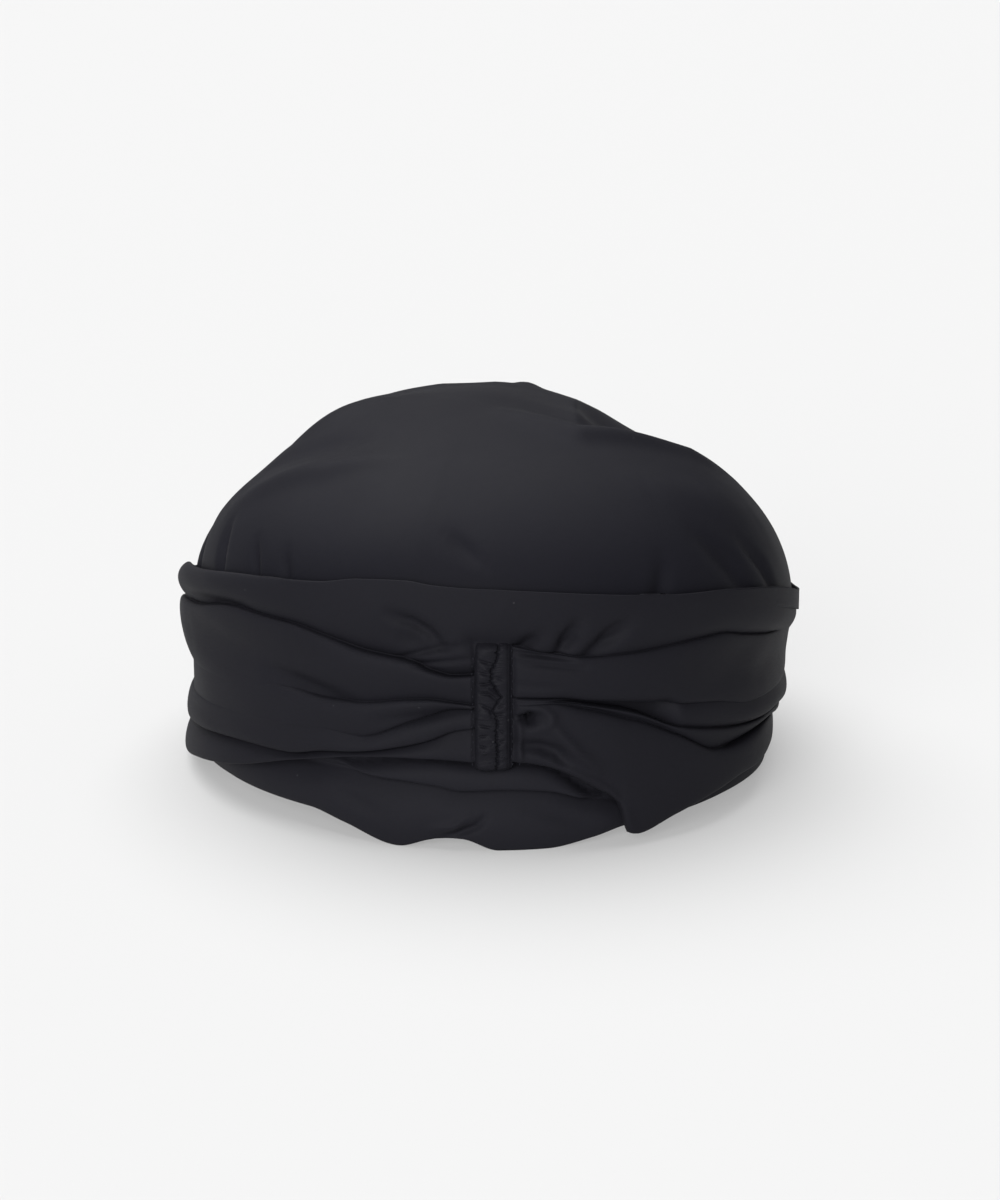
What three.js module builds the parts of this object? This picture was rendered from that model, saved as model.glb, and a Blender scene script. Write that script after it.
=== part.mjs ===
// A soft turban headwrap, standing by itself on a table: a domed crown of cloth sewn to a hem, a wide
// pleated band round both, and the short shirred strip that gathers the band at the back.
// Millimetres, +Z up. The gather faces -Y, the forehead +Y, and the hem stands on z = 0.
import * as THREE from 'three';

const { clamp, degToRad, lerp, radToDeg, smoothstep } = THREE.MathUtils;

// Driving dimensions
const headWidth = 180; // the opening, ear to ear
const headLength = 192; // the opening, forehead to nape
const crownHeight = 121.5; // top of the crown above the table
const crownReach = 8.6; // how far the crown's widest place stands off the head
const crownWall = 1.8;
const crownTuck = 8; // the crown is widest this far below the band's top edge
const seamDepth = 24; // and is sewn to the hem this far below it
const bandTop = 86; // the band's top edge above the table, at the gather
const bandReach = 12.5; // how far the band's fullest roll stands off the head
const bandWall = 2;
const hemReach = 5; // how far the hem's skirt stands out from its upper wall
const hemWall = 2;
const hemTuck = 4; // the hem's roll ends this far above the band's lower edge
const hemPinch = 0.6; // how far out the crease over the skirt lies, as a share of the skirt
const stripTurn = 1; // middle of the gathered strip, in degrees from the back
const stripWidth = 11.8;
const stripHeight = 41;
const stripFoot = 27.2; // lower end of the strip above the table
const stripWall = 1.6;
const stripPuff = 1; // how much fuller its two columns are than its edges
const fit = 0.35; // gap between pieces that touch

// Tables. The first column is the turn round the head, in degrees from the back, positive towards
// the right seen from the gather. The others are shares of the length named beside each table.

// The band's edges and the four creases between its five rolls, as shares of bandTop.
const bandHeights = table('turn top upper middle lower foot bottom', [
  [-150, 0.64, 0.5, 0.35, 0.23, 0.125, 0.024],
  [-110, 0.67, 0.55, 0.37, 0.25, 0.13, 0.024],
  [-84, 0.75, 0.64, 0.42, 0.3, 0.18, 0.045],
  [-68, 0.85, 0.715, 0.465, 0.35, 0.233, 0.113],
  [-50, 0.922, 0.793, 0.51, 0.395, 0.286, 0.2],
  [-38, 0.953, 0.794, 0.552, 0.42, 0.302, 0.272],
  [-27, 0.985, 0.756, 0.542, 0.436, 0.347, 0.322],
  [-18, 1.01, 0.722, 0.562, 0.454, 0.378, 0.35],
  [-12, 1.005, 0.727, 0.572, 0.494, 0.408, 0.353],
  [-7, 0.996, 0.775, 0.564, 0.529, 0.451, 0.349],
  [-2, 0.99, 0.8, 0.564, 0.529, 0.472, 0.343],
  [4, 0.984, 0.8, 0.587, 0.57, 0.55, 0.345],
  [10, 0.974, 0.744, 0.584, 0.571, 0.556, 0.331],
  [19, 0.953, 0.72, 0.558, 0.54, 0.52, 0.238],
  [24, 0.94, 0.718, 0.54, 0.515, 0.487, 0.165],
  [27, 0.933, 0.717, 0.528, 0.494, 0.463, 0.052],
  [36, 0.907, 0.72, 0.494, 0.41, 0.378, 0.075],
  [46, 0.883, 0.714, 0.459, 0.356, 0.274, 0.116],
  [56, 0.844, 0.663, 0.407, 0.314, 0.253, 0.138],
  [68, 0.785, 0.593, 0.384, 0.28, 0.22, 0.116],
  [84, 0.678, 0.506, 0.349, 0.21, 0.145, 0.058],
  [120, 0.628, 0.477, 0.326, 0.21, 0.105, 0.024],
  [165, 0.628, 0.488, 0.337, 0.22, 0.116, 0.024],
]);

// How deep each edge and crease lies, from 0 at the rolls' fullest to 1 on the cap below.
const bandDepths = table('turn top upper middle lower foot bottom', [
  [-150, 0.4, 0.6, 0.4, 0.35, 0.5, 0.7],
  [-84, 0.1, 0.9, 0.35, 0.02, 0.8, 0.7],
  [-50, 0.3, 1, 0.1, 0.02, 0.7, 0.9],
  [-30, 0.4, 0.85, 0.5, 0.1, 0.9, 0.9],
  [-12, 0.4, 0.7, 0.6, 0.5, 0.6, 0.7],
  [-2, 0.4, 0.5, 0.5, 0.5, 0.5, 0.7],
  [4, 0.4, 0.5, 0.4, 0.4, 0.4, 0.7],
  [14, 0.4, 0.6, 0.5, 0.7, 0.6, 0.3],
  [30, 0.4, 0.7, 0.4, 0.5, 0.5, 0.5],
  [48, 0.3, 1, 0.15, 0.8, 0.7, 0.7],
  [63, 0.2, 1, 0.15, 0.9, 0.9, 0.7],
  [84, 0.2, 0.9, 0.15, 0.6, 0.9, 0.7],
  [130, 0.4, 0.6, 0.4, 0.35, 0.5, 0.7],
]);

// How full each roll is, from the top one down, as shares of bandReach.
const bandRolls = table('turn first second third fourth fifth', [
  [-140, 0.96, 0.96, 0.94, 0.94, 0.88],
  [-88, 1, 0.88, 0.86, 0.94, 0.93],
  [-60, 0.98, 0.92, 0.92, 0.95, 0.85],
  [-30, 0.96, 0.94, 0.95, 0.93, 0.75],
  [-12, 0.95, 0.88, 0.86, 0.85, 0.8],
  [-3, 0.94, 0.74, 0.72, 0.72, 0.72],
  [5, 0.94, 0.75, 0.72, 0.72, 0.78],
  [14, 0.95, 0.9, 0.78, 0.78, 0.97],
  [30, 0.97, 0.96, 0.82, 0.82, 1],
  [55, 0.97, 0.92, 0.86, 0.72, 0.86],
  [84, 0.94, 0.7, 0.74, 0.55, 0.4],
  [130, 0.96, 0.94, 0.92, 0.9, 0.82],
]);

// The hem's lower rim and the crease over its skirt, as shares of bandTop, then how full its roll
// and its skirt are, as shares of hemReach.
const hemShape = table('turn rim crease roll skirt', [
  [-130, 0, 0.14, 0.1, 0.2],
  [-84, 0.03, 0.2, 0.1, 0.3],
  [-60, 0.08, 0.24, 0.15, 0.6],
  [-36, 0.09, 0.252, 0.5, 0.95],
  [-28, 0.06, 0.266, 0.6, 1],
  [-17, 0.002, 0.26, 0.7, 1],
  [-10, 0.036, 0.248, 0.7, 0.85],
  [-5, 0.04, 0.23, 0.7, 0.85],
  [2, 0, 0.236, 0.7, 0.95],
  [11, 0.001, 0.225, 0.7, 1],
  [20, 0.026, 0.17, 0.6, 0.95],
  [28, 0.05, 0.14, 0.3, 0.7],
  [50, 0.05, 0.14, 0.1, 0.4],
  [84, 0.02, 0.14, 0.1, 0.2],
  [120, 0, 0.14, 0.1, 0.2],
]);

// How far the crown's widest place reaches at each turn, as a share of crownReach.
const crownShape = table('turn reach', [
  [-150, 1],
  [-86, 0.8],
  [-50, 0.9],
  [-10, 0.98],
  [84, 1.12],
  [150, 1],
]);

// Pleats and hollows of the crown, seen from above: each runs between two places given as shares of
// the crown's half width and half length, and its height and width are shares of crownHeight.
const pleats = table('x1 y1 x2 y2 height width', [
  [0.1, -0.16, 0.72, -0.17, 0.018, 0.07],
  [0.14, 0.22, 0.6, 0.04, 0.024, 0.08],
  [-0.85, -0.24, -0.42, -0.42, 0.02, 0.06],
  [-0.62, 0.1, -0.3, 0.14, 0.022, 0.08],
  [-0.7, 0.46, 0.7, 0.4, 0.024, 0.08],
  [-0.62, 0.7, 0.6, 0.66, 0.024, 0.08],
  [0.3, 0.22, 0.52, 0.2, -0.07, 0.22],
  [-0.82, -0.1, -0.82, 0.3, -0.03, 0.16],
]);

function table(names, rows) {
  const columns = names.split(' ');
  return rows.map((row) => Object.fromEntries(columns.map((name, i) => [name, row[i]])));
}

// One column of a table as a smooth closed curve over the turn, with no overshoot between rows.
function curve(rows, column, length = 1) {
  const count = rows.length;
  const turns = rows.map((row) => row.turn);
  const values = rows.map((row) => row[column] * length);
  const step = (i) => (i === count - 1 ? turns[0] + 360 : turns[i + 1]) - turns[i];
  const slope = (i) => (values[(i + 1) % count] - values[i]) / step(i);
  const tangents = turns.map((_, i) => {
    const before = slope((i + count - 1) % count);
    const after = slope(i);
    return before * after <= 0 ? 0 : (2 * before * after) / (before + after);
  });
  return (turn) => {
    const at = turn < turns[0] ? turn + 360 : turn;
    const i = turns.findLastIndex((knot) => knot <= at);
    const next = (i + 1) % count;
    const h = step(i);
    const s = (at - turns[i]) / h;
    const ends = lerp(values[i], values[next], s * s * (3 - 2 * s));
    return ends + h * s * (1 - s) * (tangents[i] * (1 - s) - tangents[next] * s);
  };
}

const edgeNames = ['top', 'upper', 'middle', 'lower', 'foot', 'bottom'];
const rollNames = ['first', 'second', 'third', 'fourth', 'fifth'];
const edgeHeights = edgeNames.map((name) => curve(bandHeights, name, bandTop));
const edgeDepths = edgeNames.map((name) => curve(bandDepths, name));
const rollReach = rollNames.map((name) => curve(bandRolls, name, bandReach));
const topEdge = edgeHeights[0];
const bottomEdge = edgeHeights[edgeHeights.length - 1];
const hemRim = curve(hemShape, 'rim', bandTop);
const hemCrease = curve(hemShape, 'crease', bandTop);
const hemRoll = curve(hemShape, 'roll', hemReach);
const hemSkirt = curve(hemShape, 'skirt', hemReach);
const crownWidest = curve(crownShape, 'reach', crownReach);

// A place round the head: the turn, how far it stands off the head's oval, and its height.
function around(turn, off, z) {
  const a = degToRad(turn);
  const x = (headWidth / 2 + off) * Math.sin(a);
  const y = -(headLength / 2 + off) * Math.cos(a);
  return new THREE.Vector3(x, y, z);
}

// Turns round the head, closer together near the gather, where the folds are finest.
function turnsRoundHead() {
  const turns = [];
  let turn = -180;
  while (turn < 180) {
    turns.push(turn);
    const away = Math.abs(turn + 1);
    turn += away < 33 ? 3 : away < 93 ? 6 : 9;
  }
  return turns;
}

const turns = turnsRoundHead();

// A wall of cloth: a profile turned once round, with each point laid where place(turn, row) says.
// The profile runs up the outside and down the inside. It closes on itself, or runs axis to axis.
function wallOfCloth(rows, closed, place) {
  const profile = Array.from({ length: rows }, (_, row) => new THREE.Vector2(1, row));
  if (closed) profile.push(profile[0]);
  const geometry = new THREE.LatheGeometry(profile, turns.length);
  const position = geometry.getAttribute('position');
  for (let k = 0; k < position.count; k++) {
    const turn = turns[Math.floor(k / profile.length) % turns.length];
    const row = (k % profile.length) % rows;
    position.setXYZ(k, ...place(turn, row));
  }
  geometry.computeVertexNormals();
  return geometry;
}

// The hem's outer face: a skirt, a crease, a soft roll, and a plain upper wall behind the band.
function hemOff(turn, z) {
  const rim = hemRim(turn);
  const crease = hemCrease(turn);
  const end = hemEnd(turn);
  const skirt = hemSkirt(turn);
  if (z >= end) return hemWall;
  if (z <= crease) {
    const bulge = Math.sin(Math.PI * clamp((z - rim) / (crease - rim), 0, 1));
    return hemWall + skirt * lerp(hemPinch, 1, bulge);
  }
  const s = (z - crease) / (end - crease);
  const lean = hemPinch * skirt * (1 - smoothstep(s, 0.3, 1));
  return hemWall + lean + hemRoll(turn) * roundness(s);
}

// A soft roll between two creases: 0 at both, 1 halfway.
function roundness(s) {
  return (4 * s * (1 - s)) ** 0.6;
}

// Where the hem's roll ends and its upper wall begins, and where the crown is sewn on.
function hemEnd(turn) {
  return Math.max(bottomEdge(turn) + hemTuck, hemCrease(turn) + 2 * hemTuck);
}

function seam(turn) {
  return topEdge(turn) - seamDepth;
}

// The crown's wall behind the band, from the seam up to its widest place.
function crownOff(turn, z) {
  const from = seam(turn);
  const s = clamp((z - from) / (seamDepth - crownTuck), 0, 1);
  return lerp(hemWall, crownWidest(turn), smoothstep(s, 0, 1));
}

// What the band wraps: the hem below the seam, the crown above it.
function capOff(turn, z) {
  return z < seam(turn) ? hemOff(turn, z) : crownOff(turn, z);
}

function makeHem() {
  const outerSteps = [0, 0.3, 0.7, 1, 1.25, 1.6, 1.85, 2, 2.5, 3];
  const innerSteps = [3, 2, 1.6, 1, 0.5, 0];
  const steps = [...outerSteps, ...innerSteps];
  return wallOfCloth(steps.length, true, (turn, row) => {
    const heights = [hemRim(turn), hemCrease(turn), hemEnd(turn), seam(turn)];
    const step = steps[row];
    const part = Math.min(Math.floor(step), 2);
    const z = lerp(heights[part], heights[part + 1], step - part);
    const inset = row < outerSteps.length ? 0 : hemWall;
    return around(turn, hemOff(turn, z) - inset, z);
  });
}

// Height of a pleat over a place seen from above, fading out towards the pleat's two ends.
function pleatHeight({ x1, y1, x2, y2, height, width }, x, y) {
  const dx = x2 - x1;
  const dy = y2 - y1;
  const along = clamp(((x - x1) * dx + (y - y1) * dy) / (dx * dx + dy * dy), 0, 1);
  const gap = Math.hypot(x - x1 - along * dx, y - y1 - along * dy);
  return height * Math.exp(-((gap / width) ** 2));
}

// The crown's dome: the angle runs from 0 at the widest place to 90 at the top.
function domeAt(turn, angle, inset) {
  const a = degToRad(angle);
  const widest = topEdge(turn) - crownTuck;
  const rise = crownHeight - widest;
  const p = around(turn, crownWidest(turn), 0).multiplyScalar(Math.cos(a));
  p.z = widest + rise * Math.sin(a);
  const across = headWidth / 2 + crownReach;
  const along = headLength / 2 + crownReach;
  const lift = pleats.reduce((sum, pleat) => sum + pleatHeight(pleat, p.x / across, p.y / along), 0);
  const out = new THREE.Vector3(p.x / across ** 2, p.y / along ** 2, Math.sin(a) / rise).normalize();
  return p.addScaledVector(out, lift * crownHeight * Math.sin(a) - inset);
}

function makeCrown() {
  const wallSteps = [0, 0.35, 0.7];
  const domeSteps = 13;
  const side = wallSteps.length + domeSteps + 1;
  return wallOfCloth(2 * side, false, (turn, row) => {
    const outside = row >= side;
    const step = outside ? row - side : side - 1 - row;
    const inset = outside ? 0 : crownWall;
    if (step >= wallSteps.length) {
      return domeAt(turn, (90 * (step - wallSteps.length)) / domeSteps, inset);
    }
    const z = lerp(seam(turn) + fit, topEdge(turn) - crownTuck, wallSteps[step]);
    return around(turn, crownOff(turn, z) - inset, z);
  });
}

// The band's outer face: roll is counted from the top, and s runs up the roll from its lower crease.
function bandAt(turn, roll, s) {
  const z = lerp(edgeHeights[roll + 1](turn), edgeHeights[roll](turn), s);
  const chord = lerp(edgeOff(turn, roll + 1), edgeOff(turn, roll), s);
  const off = chord + Math.max(rollReach[roll](turn) - chord, 0) * roundness(s);
  return { z, off: Math.max(off, bandFloor(turn, z)) };
}

// The band's outer face where its cloth lies on the cap.
function bandFloor(turn, z) {
  return capOff(turn, z) + fit + bandWall;
}

// The band's outer face at one of its edges or creases, between the lower of its two rolls and the cap.
function edgeOff(turn, edge) {
  const floor = bandFloor(turn, edgeHeights[edge](turn));
  const above = rollReach[Math.max(edge - 1, 0)](turn);
  const below = rollReach[Math.min(edge, rollReach.length - 1)](turn);
  return lerp(Math.max(Math.min(above, below), floor), floor, edgeDepths[edge](turn));
}

function makeBand() {
  const outerSteps = [0, 0.12, 0.35, 0.65, 0.88];
  const innerSteps = [0, 0.25, 0.75];
  const rolls = rollReach.length;
  const places = [];
  for (let roll = rolls - 1; roll >= 0; roll--) {
    for (const s of outerSteps) places.push({ roll, s, inset: 0 });
  }
  places.push({ roll: 0, s: 1, inset: 0 });
  places.push({ roll: 0, s: 1, inset: bandWall });
  for (let roll = 0; roll < rolls; roll++) {
    for (const s of [...innerSteps].reverse()) places.push({ roll, s, inset: bandWall });
  }
  return wallOfCloth(places.length, true, (turn, row) => {
    const { roll, s, inset } = places[row];
    const { z, off } = bandAt(turn, roll, s);
    return around(turn, off - inset, z);
  });
}

// The gathered strip: a flat block of two puffed columns, bent round the band that it gathers.
function makeStrip() {
  const geometry = new THREE.BoxGeometry(stripWidth, 1, stripHeight, 8, 1, 12);
  const position = geometry.getAttribute('position');
  const v = new THREE.Vector3();
  for (let k = 0; k < position.count; k++) {
    v.fromBufferAttribute(position, k);
    const across = (2 * v.x) / stripWidth;
    const turn = stripTurn + radToDeg(v.x / (headWidth / 2 + bandReach));
    const under = Math.max(...rollReach.slice(1).map((reach) => reach(turn))) + fit;
    const puff = v.y < 0 ? stripWall + stripPuff * Math.abs(Math.sin(Math.PI * across)) : 0;
    position.setXYZ(k, ...around(turn, under + puff, stripFoot + stripHeight / 2 + v.z));
  }
  geometry.computeVertexNormals();
  return geometry;
}

function clothPiece(name, geometry, colour) {
  const material = new THREE.MeshStandardMaterial({ color: colour, roughness: 0.6, metalness: 0 });
  const mesh = new THREE.Mesh(geometry, material);
  mesh.name = name;
  return mesh;
}

const headwrap = new THREE.Group();
headwrap.add(clothPiece('hem', makeHem(), 0x2a292e));
headwrap.add(clothPiece('crown', makeCrown(), 0x32313a));
headwrap.add(clothPiece('band', makeBand(), 0x28272d));
headwrap.add(clothPiece('gather_strip', makeStrip(), 0x25242a));

export default headwrap;
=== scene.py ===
import math
import bmesh
import bpy
import numpy as np
from mathutils import Matrix, Vector


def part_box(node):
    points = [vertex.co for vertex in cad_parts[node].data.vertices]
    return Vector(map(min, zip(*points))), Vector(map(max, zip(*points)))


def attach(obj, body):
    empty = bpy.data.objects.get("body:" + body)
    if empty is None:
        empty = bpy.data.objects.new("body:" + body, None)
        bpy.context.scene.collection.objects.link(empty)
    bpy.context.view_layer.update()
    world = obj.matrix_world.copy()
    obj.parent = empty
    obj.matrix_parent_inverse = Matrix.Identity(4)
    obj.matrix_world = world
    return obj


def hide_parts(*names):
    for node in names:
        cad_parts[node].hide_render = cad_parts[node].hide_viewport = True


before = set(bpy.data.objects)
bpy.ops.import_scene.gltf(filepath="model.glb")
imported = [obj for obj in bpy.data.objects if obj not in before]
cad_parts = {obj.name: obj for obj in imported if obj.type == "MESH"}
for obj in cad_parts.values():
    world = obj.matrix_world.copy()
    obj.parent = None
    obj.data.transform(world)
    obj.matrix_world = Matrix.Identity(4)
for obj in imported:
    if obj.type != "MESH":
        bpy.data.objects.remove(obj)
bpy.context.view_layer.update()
MM = 0.001  # the frame is in metres, and sizes named below in millimetres where nothing else is said

# The view
# The headwrap stands on a table and is seen from its gathered side, slightly from above, through a
# long lens a little over a metre away.
VIEW_DISTANCE = 1.1  # metres, as the target
VIEW_ELEVATION = math.radians(16)
VIEW_TARGET = Vector((0.0037, 0, 0.0512))
VIEW_LENS = 99.3

camera = bpy.data.objects.new("camera", bpy.data.cameras.new("camera"))
camera.data.lens = VIEW_LENS
camera.data.sensor_width = 36
back_off = Vector((0, -math.cos(VIEW_ELEVATION), math.sin(VIEW_ELEVATION)))
camera.location = VIEW_TARGET + VIEW_DISTANCE * back_off
camera.rotation_euler = (-back_off).to_track_quat("-Z", "Y").to_euler()
bpy.context.scene.collection.objects.link(camera)
bpy.context.scene.camera = camera


# Shader nodes
# Every cloth here is a small network of texture nodes. Wire holds one output socket of a node, so
# that a plain sum or product of wires adds the Math nodes it needs.
class Wire:
    def __init__(self, tree, socket=None):
        self.tree = tree
        self.socket = socket

    def node(self, kind, settings=None, output=0, **sockets):
        made = self.tree.nodes.new(kind)
        for name, value in (settings or {}).items():
            if name == "stops":
                for stop, (position, grey) in zip(made.color_ramp.elements, value):
                    stop.position = position
                    stop.color = (grey, grey, grey, 1)
            else:
                setattr(made, name, value)
        for name, value in sockets.items():
            key = int(name[1:]) if name[0] == "_" else name.replace("_", " ")
            if isinstance(value, Wire):
                self.tree.links.new(value.socket, made.inputs[key])
            else:
                made.inputs[key].default_value = value
        return Wire(self.tree, made.outputs[output])

    def maths(self, operation, first, second):
        return self.node("ShaderNodeMath", {"operation": operation}, _0=first, _1=second)

    def __add__(self, other):
        return self.maths("ADD", self, other)

    def __radd__(self, other):
        return self.maths("ADD", other, self)

    def __mul__(self, other):
        return self.maths("MULTIPLY", self, other)

    def __rmul__(self, other):
        return self.maths("MULTIPLY", other, self)


# The table and the light
# A plain pale table top, wide enough to fill the view, with a faint glow that keeps the shadow on it
# light. Two broad soft lights shine on it, one from overhead and one from low behind the camera, in a
# dim white surround.
TABLE_TOP = (0.315, 0.315, 0.315, 1)
TABLE_GLOW = 0.34
TABLE_SIZE = 30.0  # metres
SURROUND_STRENGTH = 0.25
SOFT_LIGHTS = [
    # towards the light, spread in degrees, strength
    ((-0.2, 0.35, 1.0), 70.0, 4.35),
    ((-0.28, -1.0, 0.3), 45.0, 3.3),
]


def lay_table():
    bm = bmesh.new()
    bmesh.ops.create_grid(bm, x_segments=1, y_segments=1, size=TABLE_SIZE / 2)
    mesh = bpy.data.meshes.new("table_top")
    bm.to_mesh(mesh)
    bm.free()
    table_top = bpy.data.objects.new("table_top", mesh)
    bpy.context.scene.collection.objects.link(table_top)
    paint = bpy.data.materials.new("table_top")
    paint.use_nodes = True
    shader = paint.node_tree.nodes["Principled BSDF"]
    shader.inputs["Base Color"].default_value = TABLE_TOP
    shader.inputs["Roughness"].default_value = 0.9
    shader.inputs["Specular IOR Level"].default_value = 0.1
    shader.inputs["Emission Color"].default_value = (1, 1, 1, 1)
    shader.inputs["Emission Strength"].default_value = TABLE_GLOW
    mesh.materials.append(paint)


def hang_soft_light(name, towards, spread, strength):
    lamp = bpy.data.lights.new(name, "SUN")
    lamp.angle = math.radians(spread)
    lamp.energy = strength
    hung = bpy.data.objects.new(name, lamp)
    hung.rotation_euler = Vector(towards).to_track_quat("Z", "Y").to_euler()
    bpy.context.scene.collection.objects.link(hung)


lay_table()
for number, (towards, spread, strength) in enumerate(SOFT_LIGHTS, 1):
    hang_soft_light(f"soft_light_{number}", towards, spread, strength)
world = bpy.data.worlds.new("surround")
world.use_nodes = True
world.node_tree.nodes["Background"].inputs["Color"].default_value = (1, 1, 1, 1)
world.node_tree.nodes["Background"].inputs["Strength"].default_value = SURROUND_STRENGTH
bpy.context.scene.world = world
bpy.context.scene.view_settings.view_transform = "Standard"


# The hem
# The lower edge of the cap, a doubled strip of the same dark cloth. It stands on the table, waves a
# little at the back, and has a soft fold under the band where the spare cloth sits.
HEAD_WIDTH = 180.0
HEAD_LENGTH = 192.0
BAND_TOP = 86.0  # the tables below give heights as shares of this one
HEM_WALL = 2.0
HEM_REACH = 5.0
HEM_TUCK = 6.0
HEM_LEAST = 8.0  # how far above its crease the hem ends at least
HEM_SPARE = 4.0  # how far its cloth runs on behind the crown
HEM_PINCH = 0.6  # how far the rim stands out, as a share of the skirt
HEM_BELLY = 0.6
HEM_ROLL_REACH = 7.0
HEM_ROLL_LEAST = 3.0
HEM_ROLL_TUCK = -2.0
HEM_ROLL_ROOM = (0.5, 5.0)  # the roll comes in as its room grows from the first to the second
HEM_DROOP = 3.4
HEM_DROOP_HEIGHTS = (2.0, 7.0)  # it is whole this far above the crease, and gone this far above it
HEM_CLOTH = 1.3
# The hem is the same dark navy cloth as the crown and band. Its colour is set the lightest of them as
# painted light, standing in for the light the pale table throws up onto it.
HEM_COLOUR_WITH_PAINTED_LIGHT = (0.0117, 0.0115, 0.0149)
BACK_ARC = (1.73, 1.0)  # how many millimetres a degree round the back is, and a millimetre up
FINE_BACK = 0.66  # how strongly the steps round the head crowd towards the gather


def table(names, *rows):
    """Rows of numbers under named columns, as a dictionary of arrays."""
    return dict(zip(names.split(), np.array(rows, float).T))


def curve(rows, column):
    """A column as a smooth closed curve over the turn, in degrees, with no overshoot between rows."""
    turns, values = rows["turn"], rows[column]
    spans = np.diff(np.append(turns, turns[0] + 360))
    slopes = (np.roll(values, -1) - values) / spans
    before = np.roll(slopes, 1)
    same = before * slopes > 0
    tangents = np.where(same, 2 * before * slopes / np.where(same, before + slopes, 1), 0)

    def read(turn):
        at = np.mod(turn - turns[0], 360) + turns[0]
        i = np.searchsorted(turns, at, side="right") - 1
        after = (i + 1) % len(turns)
        s = (at - turns[i]) / spans[i]
        ends = values[i] + (values[after] - values[i]) * s * s * (3 - 2 * s)
        return ends + spans[i] * s * (1 - s) * (tangents[i] * (1 - s) - tangents[after] * s)

    return read


def around(turn, off, z):
    """Places that stand off the head's oval by so much, as rows of x, y and z in metres."""
    a = np.radians(turn)
    x = (HEAD_WIDTH / 2 + off) * np.sin(a)
    y = -(HEAD_LENGTH / 2 + off) * np.cos(a)
    return np.stack([x, y, z + 0 * a], 1) * MM


def ease(low, high, x):
    s = np.clip((x - low) / (high - low), 0, 1)
    return s * s * (3 - 2 * s)


def roundness(s, power=0.6):
    """A soft roll between two creases: 0 at both, 1 halfway."""
    return np.clip(4 * s * (1 - s), 0, 1) ** power


def lay_cloth(name, bm, place, ring, wall):
    """A piece of cloth from a plain grid of quads. place gives where each point is laid and which
    point of the flat cloth it is, in metres; ring is the length of a closed round, 0 if open."""
    mesh = bpy.data.meshes.new(name)
    bm.to_mesh(mesh)
    points = np.zeros(len(mesh.vertices) * 3)
    mesh.vertices.foreach_get("co", points)
    laid, weave = place(points.reshape(-1, 3))
    mesh.vertices.foreach_set("co", laid.ravel())
    corners = np.zeros(len(mesh.loops), int)
    mesh.loops.foreach_get("vertex_index", corners)
    across = weave[corners, 0].reshape(-1, 4)
    # the quads that close the round end one whole round on, not back at its start
    across += ring * (across < across.max(1, keepdims=True) - ring / 2)
    uv = mesh.uv_layers.new(name="cloth")
    uv.data.foreach_set("uv", np.stack([across.ravel(), weave[corners, 1]], 1).ravel())
    bm.clear()
    bm.from_mesh(mesh)
    bmesh.ops.remove_doubles(bm, verts=bm.verts, dist=0.00001)
    bmesh.ops.recalc_face_normals(bm, faces=bm.faces)
    for face in bm.faces:
        face.smooth = True
    bm.to_mesh(mesh)
    bm.free()
    piece = bpy.data.objects.new(name, mesh)
    bpy.context.scene.collection.objects.link(piece)
    solid = piece.modifiers.new("cloth_wall", "SOLIDIFY")
    solid.thickness = wall * MM
    solid.offset = -1
    return piece


def turned_cloth(name, steps, rows, place, wall, weave_size):
    """A tube of cloth spun once round the head. weave_size is its round and its length in metres."""
    bm = bmesh.new()
    chain = [bm.verts.new((1, 0, row)) for row in range(rows)]
    edges = [bm.edges.new(pair) for pair in zip(chain, chain[1:])]
    bmesh.ops.spin(
        bm, geom=chain + edges, cent=(0, 0, 0), axis=(0, 0, 1), angle=math.tau, steps=steps, use_merge=True
    )

    def lay(points):
        angle = np.arctan2(points[:, 1], points[:, 0])
        up = points[:, 2] / (rows - 1)
        laid = place(np.degrees(angle - FINE_BACK * np.sin(angle)), up)
        return laid, np.stack([angle / math.tau * weave_size[0], up * weave_size[1]], 1)

    return lay_cloth(name, bm, lay, weave_size[0], wall)


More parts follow.
